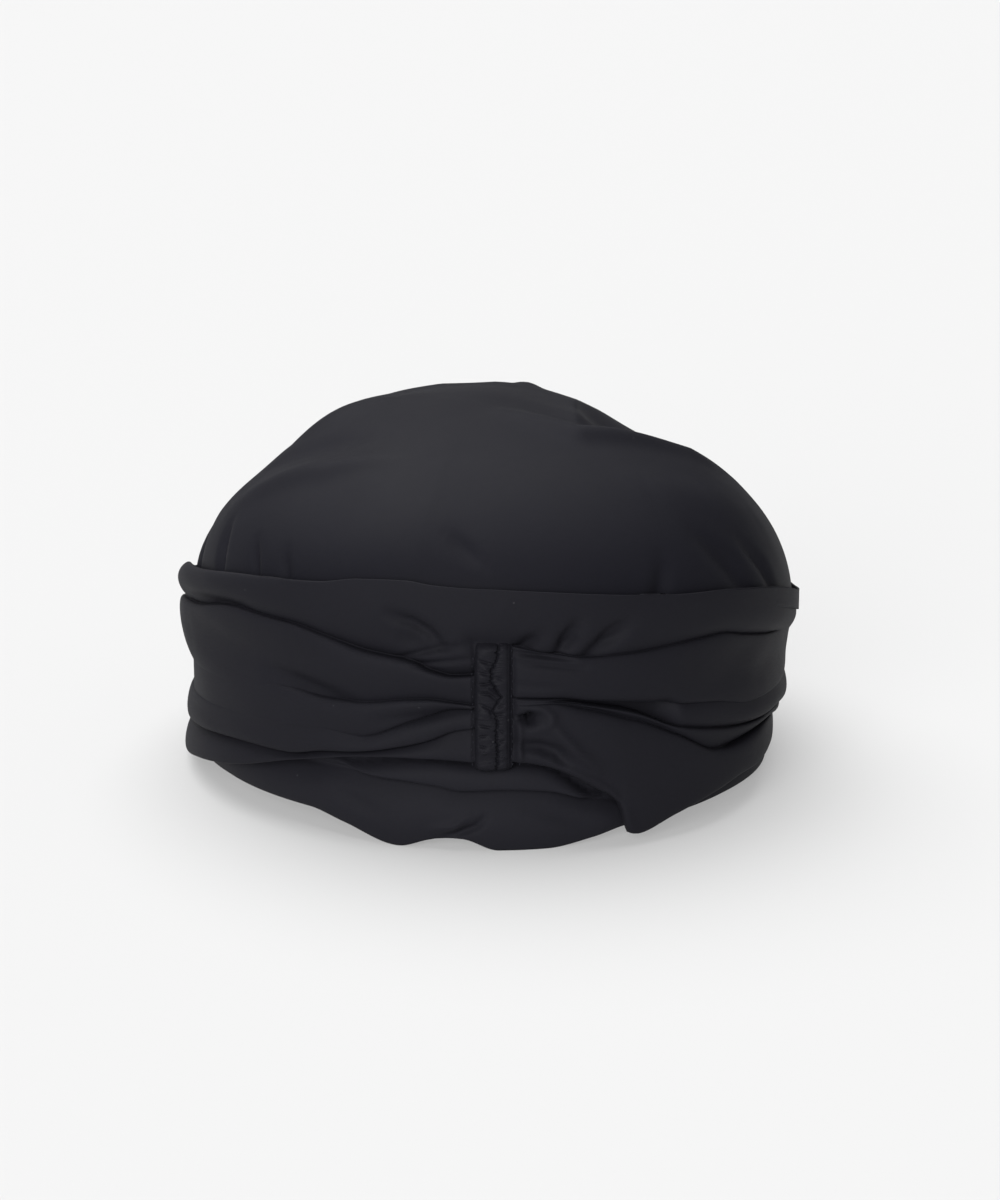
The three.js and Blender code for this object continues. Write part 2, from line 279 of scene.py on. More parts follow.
def satin(name, colour, gloss):
    """A dark, close satin cloth: soft uneven gloss, a fine twill, slubs and a little lint."""
    material = bpy.data.materials.new(name)
    material.use_nodes = True
    tree = material.node_tree
    shader = tree.nodes["Principled BSDF"]
    make = Wire(tree)
    flat = make.node("ShaderNodeTexCoord", output="UV")
    solid = make.node("ShaderNodeTexCoord", output="Object")
    patches = make.node("ShaderNodeTexNoise", Vector=solid, Scale=28.0, Detail=3.0, Roughness=0.55)
    grain = make.node("ShaderNodeTexNoise", Vector=solid, Scale=900.0, Detail=2.0)
    stretched = make.node("ShaderNodeMapping", Vector=flat, Scale=(260.0, 2600.0, 1.0))
    slubs = make.node("ShaderNodeTexNoise", Vector=stretched, Scale=1.0, Detail=3.0)
    twill = make.node(
        "ShaderNodeTexWave", {"wave_type": "BANDS", "bands_direction": "DIAGONAL"},
        Vector=flat, Scale=1100.0, Distortion=1.0, Detail=1.0,
    )
    specks = make.node("ShaderNodeTexVoronoi", Vector=solid, Scale=95.0, Randomness=1.0)
    lint = make.node("ShaderNodeValToRGB", {"stops": [(0.02, 1.0), (0.035, 0.0)]}, Fac=specks)
    shade = patches * 0.5 + slubs * 0.3 + grain * 0.2
    tinted = make.node(
        "ShaderNodeMix", {"data_type": "RGBA"}, output=2, _0=shade,
        _6=(*[c * 0.78 for c in colour], 1), _7=(*[c * 1.25 for c in colour], 1),
    )
    dusted = make.node(
        "ShaderNodeMix", {"data_type": "RGBA"}, output=2, _0=lint * 0.12,
        _6=tinted, _7=(0.16, 0.16, 0.17, 1),
    )
    height = slubs * 0.5 + twill * 0.35 + grain * 0.3
    bump = make.node("ShaderNodeBump", Strength=0.16, Distance=0.0004, Height=height)
    rough = patches * 0.16 + slubs * 0.1 + (gloss - 0.13)
    tree.links.new(dusted.socket, shader.inputs["Base Color"])
    tree.links.new(rough.socket, shader.inputs["Roughness"])
    tree.links.new(bump.socket, shader.inputs["Normal"])
    shader.inputs["Specular IOR Level"].default_value = 0.05
    return material


band_heights = table(
    "turn top upper middle lower foot bottom",
    [-150, 0.64, 0.5, 0.35, 0.23, 0.125, 0.024],
    [-118, 0.63, 0.52, 0.37, 0.25, 0.13, 0.024],
    [-98, 0.69, 0.58, 0.395, 0.27, 0.155, 0.03],
    [-84, 0.785, 0.655, 0.42, 0.3, 0.18, 0.045],
    [-68, 0.85, 0.715, 0.465, 0.35, 0.233, 0.113],
    [-50, 0.922, 0.793, 0.51, 0.395, 0.286, 0.2],
    [-38, 0.953, 0.794, 0.552, 0.42, 0.302, 0.272],
    [-30, 0.972, 0.771, 0.54, 0.43, 0.34, 0.31],
    [-23, 1.0, 0.738, 0.545, 0.42, 0.36, 0.338],
    [-14, 1.01, 0.713, 0.571, 0.484, 0.4, 0.352],
    [-10, 1.0, 0.68, 0.575, 0.512, 0.425, 0.353],
    [-6, 0.994, 0.662, 0.564, 0.535, 0.458, 0.349],
    [-2, 0.99, 0.668, 0.556, 0.54, 0.472, 0.343],
    [1, 0.988, 0.72, 0.57, 0.555, 0.51, 0.344],
    [4, 0.984, 0.773, 0.585, 0.572, 0.556, 0.345],
    [10, 0.974, 0.744, 0.58, 0.57, 0.562, 0.331],
    [19, 0.953, 0.72, 0.556, 0.538, 0.52, 0.238],
    [23.5, 0.941, 0.718, 0.541, 0.517, 0.489, 0.17],
    [25.5, 0.936, 0.717, 0.534, 0.506, 0.474, 0.052],
    [28, 0.93, 0.717, 0.525, 0.487, 0.456, 0.034],
    [36, 0.907, 0.72, 0.494, 0.41, 0.378, 0.075],
    [46, 0.883, 0.714, 0.459, 0.356, 0.274, 0.116],
    [54, 0.852, 0.673, 0.414, 0.322, 0.2535, 0.135],
    [63, 0.812, 0.625, 0.393, 0.2965, 0.256, 0.128],
    [70, 0.77, 0.594, 0.38, 0.285, 0.245, 0.128],
    [84, 0.678, 0.525, 0.345, 0.24, 0.18, 0.085],
    [98, 0.625, 0.496, 0.34, 0.21, 0.13, 0.04],
    [120, 0.615, 0.477, 0.326, 0.21, 0.105, 0.024],
    [165, 0.628, 0.488, 0.337, 0.22, 0.116, 0.024],
)
hem_shape = table(
    "turn rim crease roll skirt",
    [-130, 0, 0.14, 0.1, 0.2],
    [-84, 0.03, 0.2, 0.1, 0.6],
    [-60, 0.08, 0.24, 0.15, 0.85],
    [-36, 0.09, 0.252, 0.5, 0.95],
    [-28, 0.06, 0.266, 0.6, 1],
    [-17, 0.002, 0.26, 0.7, 1],
    [-10, 0.036, 0.248, 0.7, 0.85],
    [-5, 0.04, 0.23, 0.7, 0.85],
    [2, 0, 0.236, 0.7, 0.95],
    [11, 0.001, 0.225, 0.7, 1],
    [20, 0.026, 0.17, 0.6, 0.95],
    [28, 0.05, 0.14, 0.3, 0.7],
    [50, 0.05, 0.14, 0.1, 0.4],
    [84, 0.02, 0.14, 0.1, 0.2],
    [120, 0, 0.14, 0.1, 0.2],
)
# Small folds at the hem's rim: height and width in millimetres, then the places they run through, as
# turn and height.
hem_marks = [
    (-2.0, 1.4, [(-0.5, 11.0), (-2.2, 8.0), (-6.0, 5.0), (-9.5, 3.5)]),
    (1.0, 1.4, [(-3.5, 11.5), (-6.0, 8.2), (-10.5, 6.5)]),
    (-1.0, 2.4, [(-31, 16.0), (-20, 11.0)]),
    (-0.8, 2.6, [(8, 13.0), (20, 7.0)]),
]
top_edge = curve(band_heights, "top")
bottom_edge = curve(band_heights, "bottom")
hem_rim = curve(hem_shape, "rim")
hem_crease = curve(hem_shape, "crease")
hem_roll = curve(hem_shape, "roll")
hem_skirt = curve(hem_shape, "skirt")


def hem_end(turn):
    return np.maximum(BAND_TOP * bottom_edge(turn) + HEM_TUCK, BAND_TOP * hem_crease(turn) + HEM_LEAST)


def roll_room(turn):
    """How high the hem's roll can be, between its crease and the band's lower edge."""
    return BAND_TOP * (bottom_edge(turn) - hem_crease(turn)) + HEM_ROLL_TUCK


def hem_off(turn, z):
    rim, crease, room = BAND_TOP * hem_rim(turn), BAND_TOP * hem_crease(turn), roll_room(turn)
    skirt = HEM_REACH * hem_skirt(turn)
    low = np.clip((z - rim) / (crease - rim), 0, 1)
    belly = HEM_BELLY * np.sin(np.pi * low) ** 0.8
    below = HEM_WALL + skirt * (HEM_PINCH * (1 - low) + belly)
    high = np.clip((z - crease) / np.maximum(room, HEM_ROLL_LEAST), 0, 1)
    reach = HEM_ROLL_REACH * hem_roll(turn) * ease(*HEM_ROLL_ROOM, room)
    above = HEM_WALL + reach * roundness(high)
    return np.where(z <= crease, below, above)


def near(gap, width):
    """1 on a line and fading to 0 away from it."""
    return np.exp(-((gap / width) ** 2))


def mark_height(x, y, marks, unit):
    """What small folds and dents add at each place. They are deepest midway and fade to their ends.
    unit gives how many millimetres one step of x is, and of y."""
    total = np.zeros_like(y)
    for height, width, path in marks:
        points = np.array(path, float) * unit
        best = np.full_like(y, 1e9)
        run = np.zeros_like(y)
        lengths = np.hypot(*np.diff(points, axis=0).T)
        begun = np.append(0, np.cumsum(lengths))
        for start, end, length, before in zip(points, points[1:], lengths, begun):
            dx, dy = (end - start) / length
            right, up = x * unit[0] - start[0], y * unit[1] - start[1]
            along = np.clip(right * dx + up * dy, 0, length)
            gap = np.hypot(right - along * dx, up - along * dy)
            run = np.where(gap < best, (before + along) / begun[-1], run)
            best = np.minimum(best, gap)
        total += height * (0.3 + 0.7 * np.sin(np.pi * run)) * near(best, width)
    return total


def lay_hem(turn, up):
    rim, crease = BAND_TOP * hem_rim(turn), BAND_TOP * hem_crease(turn)
    end = hem_end(turn) + HEM_SPARE
    skirt_z = rim + (crease - rim) * np.clip(2 * up, 0, 1)
    wall_z = crease + (end - crease) * np.clip(2 * up - 1, 0, 1)
    z = np.where(up <= 0.5, skirt_z, wall_z)
    droop = HEM_DROOP * hem_roll(turn) * ease(*HEM_ROLL_ROOM, roll_room(turn))
    droop *= np.clip((z - crease) / HEM_DROOP_HEIGHTS[0], 0, 1) * (1 - ease(*HEM_DROOP_HEIGHTS, z - crease))
    return around(turn, hem_off(turn, z) + mark_height(turn, z, hem_marks, BACK_ARC), z - droop)


hem = turned_cloth(
    "hem_cloth", steps=420, rows=60, place=lay_hem, wall=HEM_CLOTH, weave_size=(0.6, 0.045)
)
hem.data.materials.append(satin("hem_satin", HEM_COLOUR_WITH_PAINTED_LIGHT, 0.6))
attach(hem, "root")
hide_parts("hem")


# The crown
# The soft top of the cap, one round of cloth eased into the hem. It is fullest just behind the band,
# falls in a few low pleats over the top, and puckers a little where it goes down behind the band.
CROWN_SETTLE = 1.0  # how far below the solid's top the cloth's lies
CROWN_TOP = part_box("crown")[1].z / MM - CROWN_SETTLE
CROWN_REACH = 8.6
CROWN_TUCK = 8.0
CROWN_SEAM = 24.0
CROWN_WALL_SHARE = 0.12  # how much of its rows is the wall behind the band
CROWN_CLOTH = 1.2
HEAD_RADIUS = 95.0  # about the oval's mean
# The crown is the same dark navy cloth as the band and hem. Its colour is set darker than theirs as painted
# shade, so that its upward faces, which catch the overhead light, come out no brighter than the band.
CROWN_COLOUR_WITH_PAINTED_SHADE = (0.0078, 0.0077, 0.0108)

crown_shape = table(
    "turn reach full",
    [-150, 1, 1],
    [-86, 0.8, 1],
    [-50, 0.9, 1],
    [-10, 0.98, 1],
    [50, 1.1, 0.98],
    [84, 1.22, 0.9],
    [150, 1, 1],
)
crown_widest = curve(crown_shape, "reach")
crown_full = curve(crown_shape, "full")
# The pleats and hollows of the top: height and width in millimetres, then the places they run
# through, as shares of the half width and half length.
crown_pleats = [
    (-10.5, 24.0, [(0.3, 0.1), (0.66, 0.1)]),
    (-3.6, 19.4, [(-0.82, -0.1), (-0.82, 0.3)]),
    (3.4, 5.5, [(0.06, -0.2), (0.29, -0.33), (0.5, -0.22), (0.7, -0.1), (0.8, 0.0)]),
    (-2.6, 7.0, [(0.08, -0.06), (0.3, -0.15), (0.5, -0.06), (0.72, 0.1)]),
    (-4.6, 20.0, [(0.42, 0.46), (0.76, 0.26)]),
    (3.0, 6.0, [(0.07, 0.48), (0.19, 0.5)]),
    (4.0, 10.0, [(-0.64, 0.42), (-0.36, 0.5)]),
    (-1.6, 12.0, [(-0.16, 0.5), (0.02, 0.5)]),
    (2.4, 9.0, [(0.5, -0.55), (0.72, -0.45), (0.86, -0.3)]),
    (2.8, 5.5, [(-0.82, -0.26), (-0.66, -0.36), (-0.51, -0.45), (-0.3, -0.5)]),
    (-2.8, 7.0, [(-0.74, -0.12), (-0.56, -0.22), (-0.38, -0.32)]),
    (4.4, 9.0, [(-0.66, 0.02), (-0.48, 0.06), (-0.3, 0.1)]),
    (2.9, 9.7, [(-0.7, 0.46), (0.3, 0.42)]),
    (2.9, 9.7, [(-0.62, 0.7), (0.6, 0.72)]),
]
# Puckers where the crown goes down behind the band: height and width in millimetres, then the
# places they run through, as turn and height.
crown_marks = [
    (-2.8, 3.4, [(-76, 64), (-80, 72), (-86, 80)]),
    (-2.4, 2.4, [(-60, 71), (-63, 79), (-67, 87)]),
    (-2.0, 1.8, [(-47, 74), (-49, 81), (-52, 88)]),
    (-1.6, 1.8, [(-39, 76), (-40, 82), (-42, 88)]),
    (-1.8, 3.4, [(31, 74), (33, 80), (35, 87)]),
    (-3.0, 4.0, [(56, 70), (52, 80), (46, 90)]),
    (-2.2, 2.6, [(66, 66), (63, 76), (58, 85)]),
    (-1.6, 2.4, [(-8, 98), (-1.0, 90.5)]),
]


def crown_off(turn, z):
    seam = BAND_TOP * top_edge(turn) - CROWN_SEAM
    s = (z - seam) / (CROWN_SEAM - CROWN_TUCK)
    return HEM_WALL + (CROWN_REACH * crown_widest(turn) - HEM_WALL) * ease(0, 1, s)


def lay_crown(turn, up):
    widest = BAND_TOP * top_edge(turn) - CROWN_TUCK
    seam = BAND_TOP * top_edge(turn) - CROWN_SEAM
    low_z = seam + (widest - seam) * np.clip(up / CROWN_WALL_SHARE, 0, 1)
    low = around(turn, crown_off(turn, low_z), low_z) / MM
    a = np.pi / 2 * np.clip((up - CROWN_WALL_SHARE) / (1 - CROWN_WALL_SHARE), 0, 1)
    high = around(turn, CROWN_REACH * crown_widest(turn), 0) / MM * np.cos(a)[:, None]
    high[:, 2] = widest + (CROWN_TOP - widest) * np.sin(a) ** crown_full(turn)
    across, along = HEAD_WIDTH / 2 + CROWN_REACH, HEAD_LENGTH / 2 + CROWN_REACH
    lift = mark_height(high[:, 0] / across, high[:, 1] / along, crown_pleats, (across, along))
    steep = np.sin(a) / (CROWN_TOP - widest)
    out = np.stack([high[:, 0] / across**2, high[:, 1] / along**2, steep], 1)
    out /= np.linalg.norm(out, axis=1)[:, None]
    high += out * (lift * np.sin(a))[:, None]
    laid = np.where((up <= CROWN_WALL_SHARE)[:, None], low, high)
    pucker = mark_height(turn, laid[:, 2], crown_marks, BACK_ARC)
    return (laid + pucker[:, None] * around(turn, 0, 0) / MM / HEAD_RADIUS) * MM


crown = turned_cloth(
    "crown_cloth", steps=420, rows=120, place=lay_crown, wall=CROWN_CLOTH, weave_size=(0.62, 0.14)
)
crown.data.materials.append(satin("crown_satin", CROWN_COLOUR_WITH_PAINTED_SHADE, 0.6))
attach(crown, "root")
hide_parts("crown")


# The band
# One wide strip of the cloth wrapped round the cap and laid in soft folds. Its top edge is a rolled
# fold, its creases run together at the gather, and at the right its lower end laps over the hem.
BAND_REACH = 12.5
BAND_CLOTH = 0.8
# The band is the same cloth as the crown. Its colour is set lighter than the crown's as painted light, to
# brighten its steep faces, which the overhead light barely reaches.
BAND_COLOUR_WITH_PAINTED_LIGHT = (0.0099, 0.0097, 0.0127)
CLEARANCE = 0.5
LIP_RADIUS = 1.8
LIP_BEND = 0.6  # how much of the lip's rows is its round
LIP_TUCK = 5.0
TUCK_UP = 3.0
TUCK_SAG = 0.8
TUCK_IN = 1.8
LAP_SHARE = 0.2
LAP_MOST = 2.2
LAP_SCALE = 9.5  # brings the peak of s**3 * (1 - s) to 1
ROLL_POWER = 0.6
LAP_POWER = 0.25
RIPPLE = 0.3
PINCH_OFF = 9.0
PINCH_SLOPE = 0.6
PINCH_BLEND = 0.4
STRIP_TURN = 1.0
STRIP_RADIUS = 101.0
STRIP_WIDTH = 11.8
STRIP_HEIGHT = 41.0
STRIP_FOOT = 27.2
BAND_ROWS = {"tuck": 6, "fifth": 26, "fourth": 16, "third": 16, "second": 26, "first": 38, "lip": 10}

band_depths = table(
    "turn top upper middle lower foot bottom",
    [-150, 0.4, 0.6, 0.4, 0.35, 0.5, 0.7],
    [-110, 0.8, 0.8, 0.2, 0.1, 0.7, 0.7],
    [-97, 0.85, 0.7, 0, 0, 0.6, 0.7],
    [-84, 0.8, 0.62, 0, 0, 0.5, 0.7],
    [-46, 0.65, 0.7, 0, 0, 0.4, 0.8],
    [-36, 0.5, 0.65, 0.2, 0, 0.4, 0.8],
    [-27, 0.5, 0.5, 0.35, 0.1, 0.45, 0.6],
    [-12, 0.5, 0.55, 0.35, 0.35, 0.4, 0.35],
    [-2, 0.5, 0.6, 0.35, 0.4, 0.4, 0.35],
    [4, 0.5, 0.35, 0.25, 0, 0.05, 0.4],
    [12, 0.5, 0.35, 0.3, 0, 0.1, 0.2],
    [18, 0.5, 0.35, 0.8, 0.3, 0.2, 0.2],
    [30, 0.5, 0.45, 0.75, 0.3, 0.25, 0.5],
    [35, 0.5, 0.5, 0.2, 0.2, 0.25, 0.6],
    [46, 0.6, 0.6, 0.12, 0.3, 0.3, 0.7],
    [54, 0.65, 0.6, 0.1, 0.35, 0.7, 0.7],
    [66, 0.75, 0.6, 0.1, 0.25, 0.8, 0.7],
    [84, 0.8, 0.6, 0.15, 0.3, 0.7, 0.7],
    [97, 0.85, 0.7, 0.2, 0.5, 0.7, 0.7],
    [130, 0.4, 0.6, 0.4, 0.35, 0.5, 0.7],
)
band_rolls = table(
    "turn first second third fourth fifth",
    [-140, 0.96, 0.96, 0.94, 0.94, 0.88],
    [-88, 1, 0.98, 0.64, 0.84, 0.92],
    [-60, 0.98, 0.95, 0.85, 0.93, 0.95],
    [-30, 0.96, 0.94, 0.95, 0.93, 0.75],
    [-12, 0.95, 0.88, 0.86, 0.85, 0.8],
    [-3, 0.94, 0.74, 0.72, 0.72, 0.72],
    [4, 0.94, 0.78, 0.78, 0.78, 0.8],
    [9, 0.95, 0.84, 0.84, 0.84, 0.87],
    [17, 0.96, 0.92, 0.42, 0.7, 0.97],
    [30, 0.97, 0.95, 0.3, 0.82, 1],
    [33, 0.97, 0.95, 0.36, 0.84, 1],
    [37, 0.97, 0.95, 0.86, 0.9, 1],
    [55, 0.97, 0.92, 0.86, 0.72, 0.86],
    [84, 0.94, 0.7, 0.74, 0.55, 0.4],
    [130, 0.96, 0.94, 0.92, 0.9, 0.82],
)
# Which way the cloth laps at each edge: 1 where the roll below stands over the one above, -1 where
# the roll above hangs over the one below.
band_laps = table(
    "turn top upper middle lower foot bottom",
    [-150, 0.2, 1, -1, 1, -1, -1],
    [-84, -0.5, 1, 1, 0, -1, -1],
    [-46, -0.2, 1, 1, 0, -1, -1],
    [-2, 0.2, 1, 1, 0, -1, -1],
    [4, 0.2, 1, -1, 0, 1, -1],
    [46, -0.2, 1, -1, 1, 1, -1],
    [84, -0.5, 1, -1, 1, 1, -1],
    [130, 0.2, 1, -1, 1, -1, -1],
)
# Small folds and puckers of the band, and dents of its first roll alone: height and width, then the
# places they run through, as turn and height.
band_marks = [
    (-1.8, 0.9, [(-16, 61.8), (-8, 66.2), (-2, 67.8)]),
    (-1.4, 0.8, [(-13, 59.9), (-6, 62.0), (-2, 62.9)]),
    (-2.2, 0.9, [(4.6, 64.8), (15, 61.6)]),
    (-1.6, 0.8, [(4.6, 62.0), (17, 59.2)]),
    (-0.6, 0.9, [(3, 54.9), (13, 53.4)]),
    (-3.0, 0.9, [(4.6, 44.0), (7.5, 43.9)]),
    (-6.5, 1.7, [(6.6, 43.6), (8.3, 44.0)]),
    (1.0, 1.1, [(5.8, 47.6), (9.6, 47.0), (11.4, 44.4), (10.2, 41.4), (7.4, 40.6)]),
    (2.0, 1.8, [(10.6, 43.5), (12.8, 38.0), (15.6, 32.5), (19.4, 27.0)]),
    (-3.6, 1.9, [(4.8, 35.6), (9.2, 34.8), (12, 33.0), (13.5, 29.8)]),
    (1.3, 0.8, [(5.6, 43.6), (5.7, 27.5)]),
    (1.0, 1.1, [(8.0, 31.6), (14.0, 27.4), (19.0, 22.6), (22.3, 18.0), (24.4, 12.0), (26.5, 5.0)]),
    (-2.4, 2.8, [(-43, 51.0), (-34, 49.4), (-26, 47.2)]),
    (-1.4, 2.0, [(-20, 41.5), (-10, 45.0), (-4, 46.6)]),
    (-2.6, 8.0, [(-70, 50.0), (-56, 53.0), (-38, 57.0)]),
    (-2.4, 8.0, [(40, 53.0), (56, 49.0), (80, 38.0)]),
    (-1.0, 0.7, [(4.4, 67.5), (4.4, 28.0)]),
    (-0.9, 0.6, [(-2.5, 67.5), (-2.5, 28.0)]),
    (0.6, 0.6, [(-2.9, 67.0), (-2.9, 28.0)]),
]
first_roll_dents = [
    (-3.2, 2.0, [(-17, 76.0), (-13, 74.0), (-10, 71.0), (-7.6, 66.0)]),
    (-2.0, 3.6, [(-16, 70.0), (-9, 66.0)]),
    (-3.4, 2.4, [(4.6, 64.5), (8.8, 70.0)]),
    (-3.2, 2.2, [(12.2, 62.5), (15.4, 73.5)]),
    (-1.8, 3.6, [(13.0, 65.0), (15.6, 70.0)]),
    (-3.0, 2.6, [(17.0, 61.5), (24.5, 72.0)]),
    (-1.4, 3.6, [(19.0, 66.0), (25.0, 70.0)]),
    (-1.6, 2.2, [(-74, 62.0), (-62, 66.0), (-48, 69.6)]),
]

edge_names = ("bottom", "foot", "lower", "middle", "upper", "top")
roll_names = ("fifth", "fourth", "third", "second", "first")
edge_heights = [curve(band_heights, name) for name in edge_names]
edge_depths = [curve(band_depths, name) for name in edge_names]
edge_laps = [curve(band_laps, name) for name in edge_names]
roll_reach = [curve(band_rolls, name) for name in roll_names]


def band_floor(turn, z):
    seam = BAND_TOP * top_edge(turn) - CROWN_SEAM
    cap = np.where(z < seam, hem_off(turn, z), crown_off(turn, z))
    return cap + CLEARANCE + BAND_CLOTH


def edge_off(turn, edge):
    floor = band_floor(turn, BAND_TOP * edge_heights[edge](turn))
    below = BAND_REACH * roll_reach[max(edge - 1, 0)](turn)
    above = BAND_REACH * roll_reach[min(edge, len(roll_reach) - 1)](turn)
    level = np.maximum(np.minimum(above, below), floor)
    return level + (floor - level) * edge_depths[edge](turn)


def waver(x, step, seed):
    """A smooth uneven wave from about -1 to 1, of about one rise and fall to each step."""
    a, b, c = (seed * 2.399963 * k % math.tau for k in (1, 2, 3))
    w = math.tau / step
    return (np.sin(w * x + a) + np.sin(0.618 * w * x + b) + 0.6 * np.sin(1.537 * w * x + c)) / 2.6


def soft_least(first, second, blend):
    """The lesser of the two, with the corner between them rounded off."""
    return -blend * np.logaddexp(-first / blend, -second / blend)


def lapped_roll(s, below, above):
    """A soft roll, 0 at both creases. It rises the faster from an edge, the smaller its power is."""
    peak = below / (below + above)
    return (s / peak) ** below * ((1 - s) / (1 - peak)) ** above


def lay_band(turn, up):
    counts = np.array(list(BAND_ROWS.values()), float)
    starts = np.append(0, np.cumsum(counts)) / counts.sum()
    part = np.clip(np.searchsorted(starts, up, side="right") - 1, 0, len(counts) - 1)
    share = (up - starts[part]) / (starts[part + 1] - starts[part])
    s = 0.5 - 0.5 * np.cos(np.pi * share)
    off, z = np.zeros_like(up), np.zeros_like(up)
    for roll in range(len(roll_names)):
        low, high = BAND_TOP * edge_heights[roll](turn), BAND_TOP * edge_heights[roll + 1](turn)
        chord = edge_off(turn, roll) + (edge_off(turn, roll + 1) - edge_off(turn, roll)) * s
        full = BAND_REACH * roll_reach[roll](turn)
        foot_lap, head_lap = edge_laps[roll](turn), edge_laps[roll + 1](turn)
        rise = np.maximum(head_lap, 0) * edge_depths[roll + 1](turn) * s**3 * (1 - s)
        droop = np.maximum(-foot_lap, 0) * edge_depths[roll](turn) * s * (1 - s) ** 3
        lap = np.minimum(LAP_SHARE * (high - low), LAP_MOST) * LAP_SCALE * (rise - droop)
        bulge = lapped_roll(s, ROLL_POWER + LAP_POWER * foot_lap, ROLL_POWER - LAP_POWER * head_lap)
        here = part == roll + 1
        z = np.where(here, low + (high - low) * s + lap, z)
        off = np.where(here, chord + np.maximum(full - chord, 0) * bulge, off)
    off += RIPPLE * waver(turn + 0.8 * z, step=31, seed=3) * waver(z - 0.2 * turn, step=16, seed=5)
    beside = np.maximum(np.radians(abs(turn - STRIP_TURN)) * STRIP_RADIUS - STRIP_WIDTH / 2, 0)
    beyond = np.maximum(abs(z - STRIP_FOOT - STRIP_HEIGHT / 2) - STRIP_HEIGHT / 2, 0)
    off = soft_least(off, PINCH_OFF + PINCH_SLOPE * np.hypot(beside, beyond), PINCH_BLEND)
    off += mark_height(turn, z, band_marks, BACK_ARC)
    first_roll = part == len(roll_names)
    off += np.where(first_roll, mark_height(turn, z, first_roll_dents, BACK_ARC), 0)
    lip = part == len(counts) - 1
    bend = np.pi / 2 * np.clip(share / LIP_BEND, 0, 1)
    behind = LIP_TUCK * np.clip((share - LIP_BEND) / (1 - LIP_BEND), 0, 1)
    lip_off = edge_off(turn, len(edge_names) - 1) - LIP_RADIUS * np.sin(bend)
    lip_z = BAND_TOP * top_edge(turn) - LIP_RADIUS * (1 - np.cos(bend)) - behind
    tuck = part == 0
    tuck_z = BAND_TOP * bottom_edge(turn) + TUCK_UP * (1 - share) ** 2 - TUCK_SAG * np.sin(np.pi * share)
    tuck_off = edge_off(turn, 0) - TUCK_IN * (1 - share) ** 0.7
    z = np.where(lip, lip_z, np.where(tuck, tuck_z, z))
    off = np.where(lip, lip_off, np.where(tuck, tuck_off, off))
    off = np.where(tuck, off, np.maximum(off, band_floor(turn, z)))
    return around(turn, off, z)


band_rows = sum(BAND_ROWS.values()) + 1
band = turned_cloth(
    "band_cloth", steps=345, rows=band_rows, place=lay_band, wall=BAND_CLOTH, weave_size=(0.66, 0.11)
)
band.data.materials.append(satin("band_satin", BAND_COLOUR_WITH_PAINTED_LIGHT, 0.6))
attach(band, "root")
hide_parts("band")


# The gather strip
# A short strip of the same cloth sewn round the band at the back, ruched along an uneven middle seam
# into two puffed columns. It draws the band's folds together.
STRIP_CLOTH = 0.6
# The strip is the same cloth as the band. Its colour is set, like the band's, lighter than the crown's, so
# it holds painted light as well as the cloth's own dark navy.
STRIP_COLOUR_WITH_PAINTED_LIGHT = (0.0090, 0.0088, 0.0116)
STRIP_STANDS = 0.7
STRIP_SINKS = 1.3
STRIP_END_DEPTH = 2.2
STRIP_END_LENGTH = 2.5
STRIP_GROOVE = 0.35
STRIP_TUCKS = 0.3
STRIP_CREASES = 0.2
STRIP_SWELLS = 0.25
# the middle seam: how high up the strip, and how far across it is there
STRIP_SEAM_UP = [0, 6.5, 12.1, 16.5, 19.9, 23.8, 28.8, 32.6, 35.4, 39.3]
STRIP_SEAM_ACROSS = [6.8, 7.2, 6.7, 7.1, 5.5, 8.2, 5.2, 5.2, 6.8, 7.3]
STRIP_LEFT = 0.8  # across, where the left column of puffs begins
STRIP_RIGHT = 10.2  # across, where the right one ends
strip_puffs = {"left": 1.3, "right": 0.8}
strip_marks = [
    # height and width in millimetres, and the places as millimetres across and up
    (0.9, 0.5, [(1.0, 26.4), (4.2, 26.8), (6.6, 24.6)]),
    (-0.8, 0.45, [(1.0, 27.9), (5.4, 28.4)]),
    (-0.8, 0.5, [(0.9, 25.0), (4.6, 25.0), (7.4, 22.6)]),
    (-0.8, 0.5, [(1.6, 21.8), (4.9, 20.2), (5.6, 17.6)]),
    (0.6, 0.5, [(1.0, 6.2), (4.6, 6.6)]),
    (-0.7, 0.45, [(1.0, 8.4), (3.8, 8.0)]),
    (-0.6, 0.4, [(1.0, 11.3), (4.4, 11.9)]),
    (-0.8, 0.45, [(1.2, 15.0), (5.6, 14.2)]),
    (0.6, 0.5, [(7.4, 4.2), (9.6, 4.2)]),
    (-0.8, 0.5, [(1.0, 35.6), (5.4, 34.4)]),
    (-0.7, 0.45, [(1.0, 31.8), (4.8, 31.0)]),
    (0.6, 0.5, [(2.2, 33.4), (5.0, 32.6)]),
    (-0.8, 0.5, [(6.6, 20.6), (9.6, 21.4)]),
    (-0.8, 0.5, [(6.2, 18.4), (9.6, 18.8)]),
    (-0.7, 0.5, [(7.4, 13.4), (9.6, 12.4)]),
    (-0.7, 0.5, [(7.2, 9.2), (9.6, 10.2)]),
    (-0.6, 0.5, [(6.0, 30.4), (9.4, 29.2)]),
]


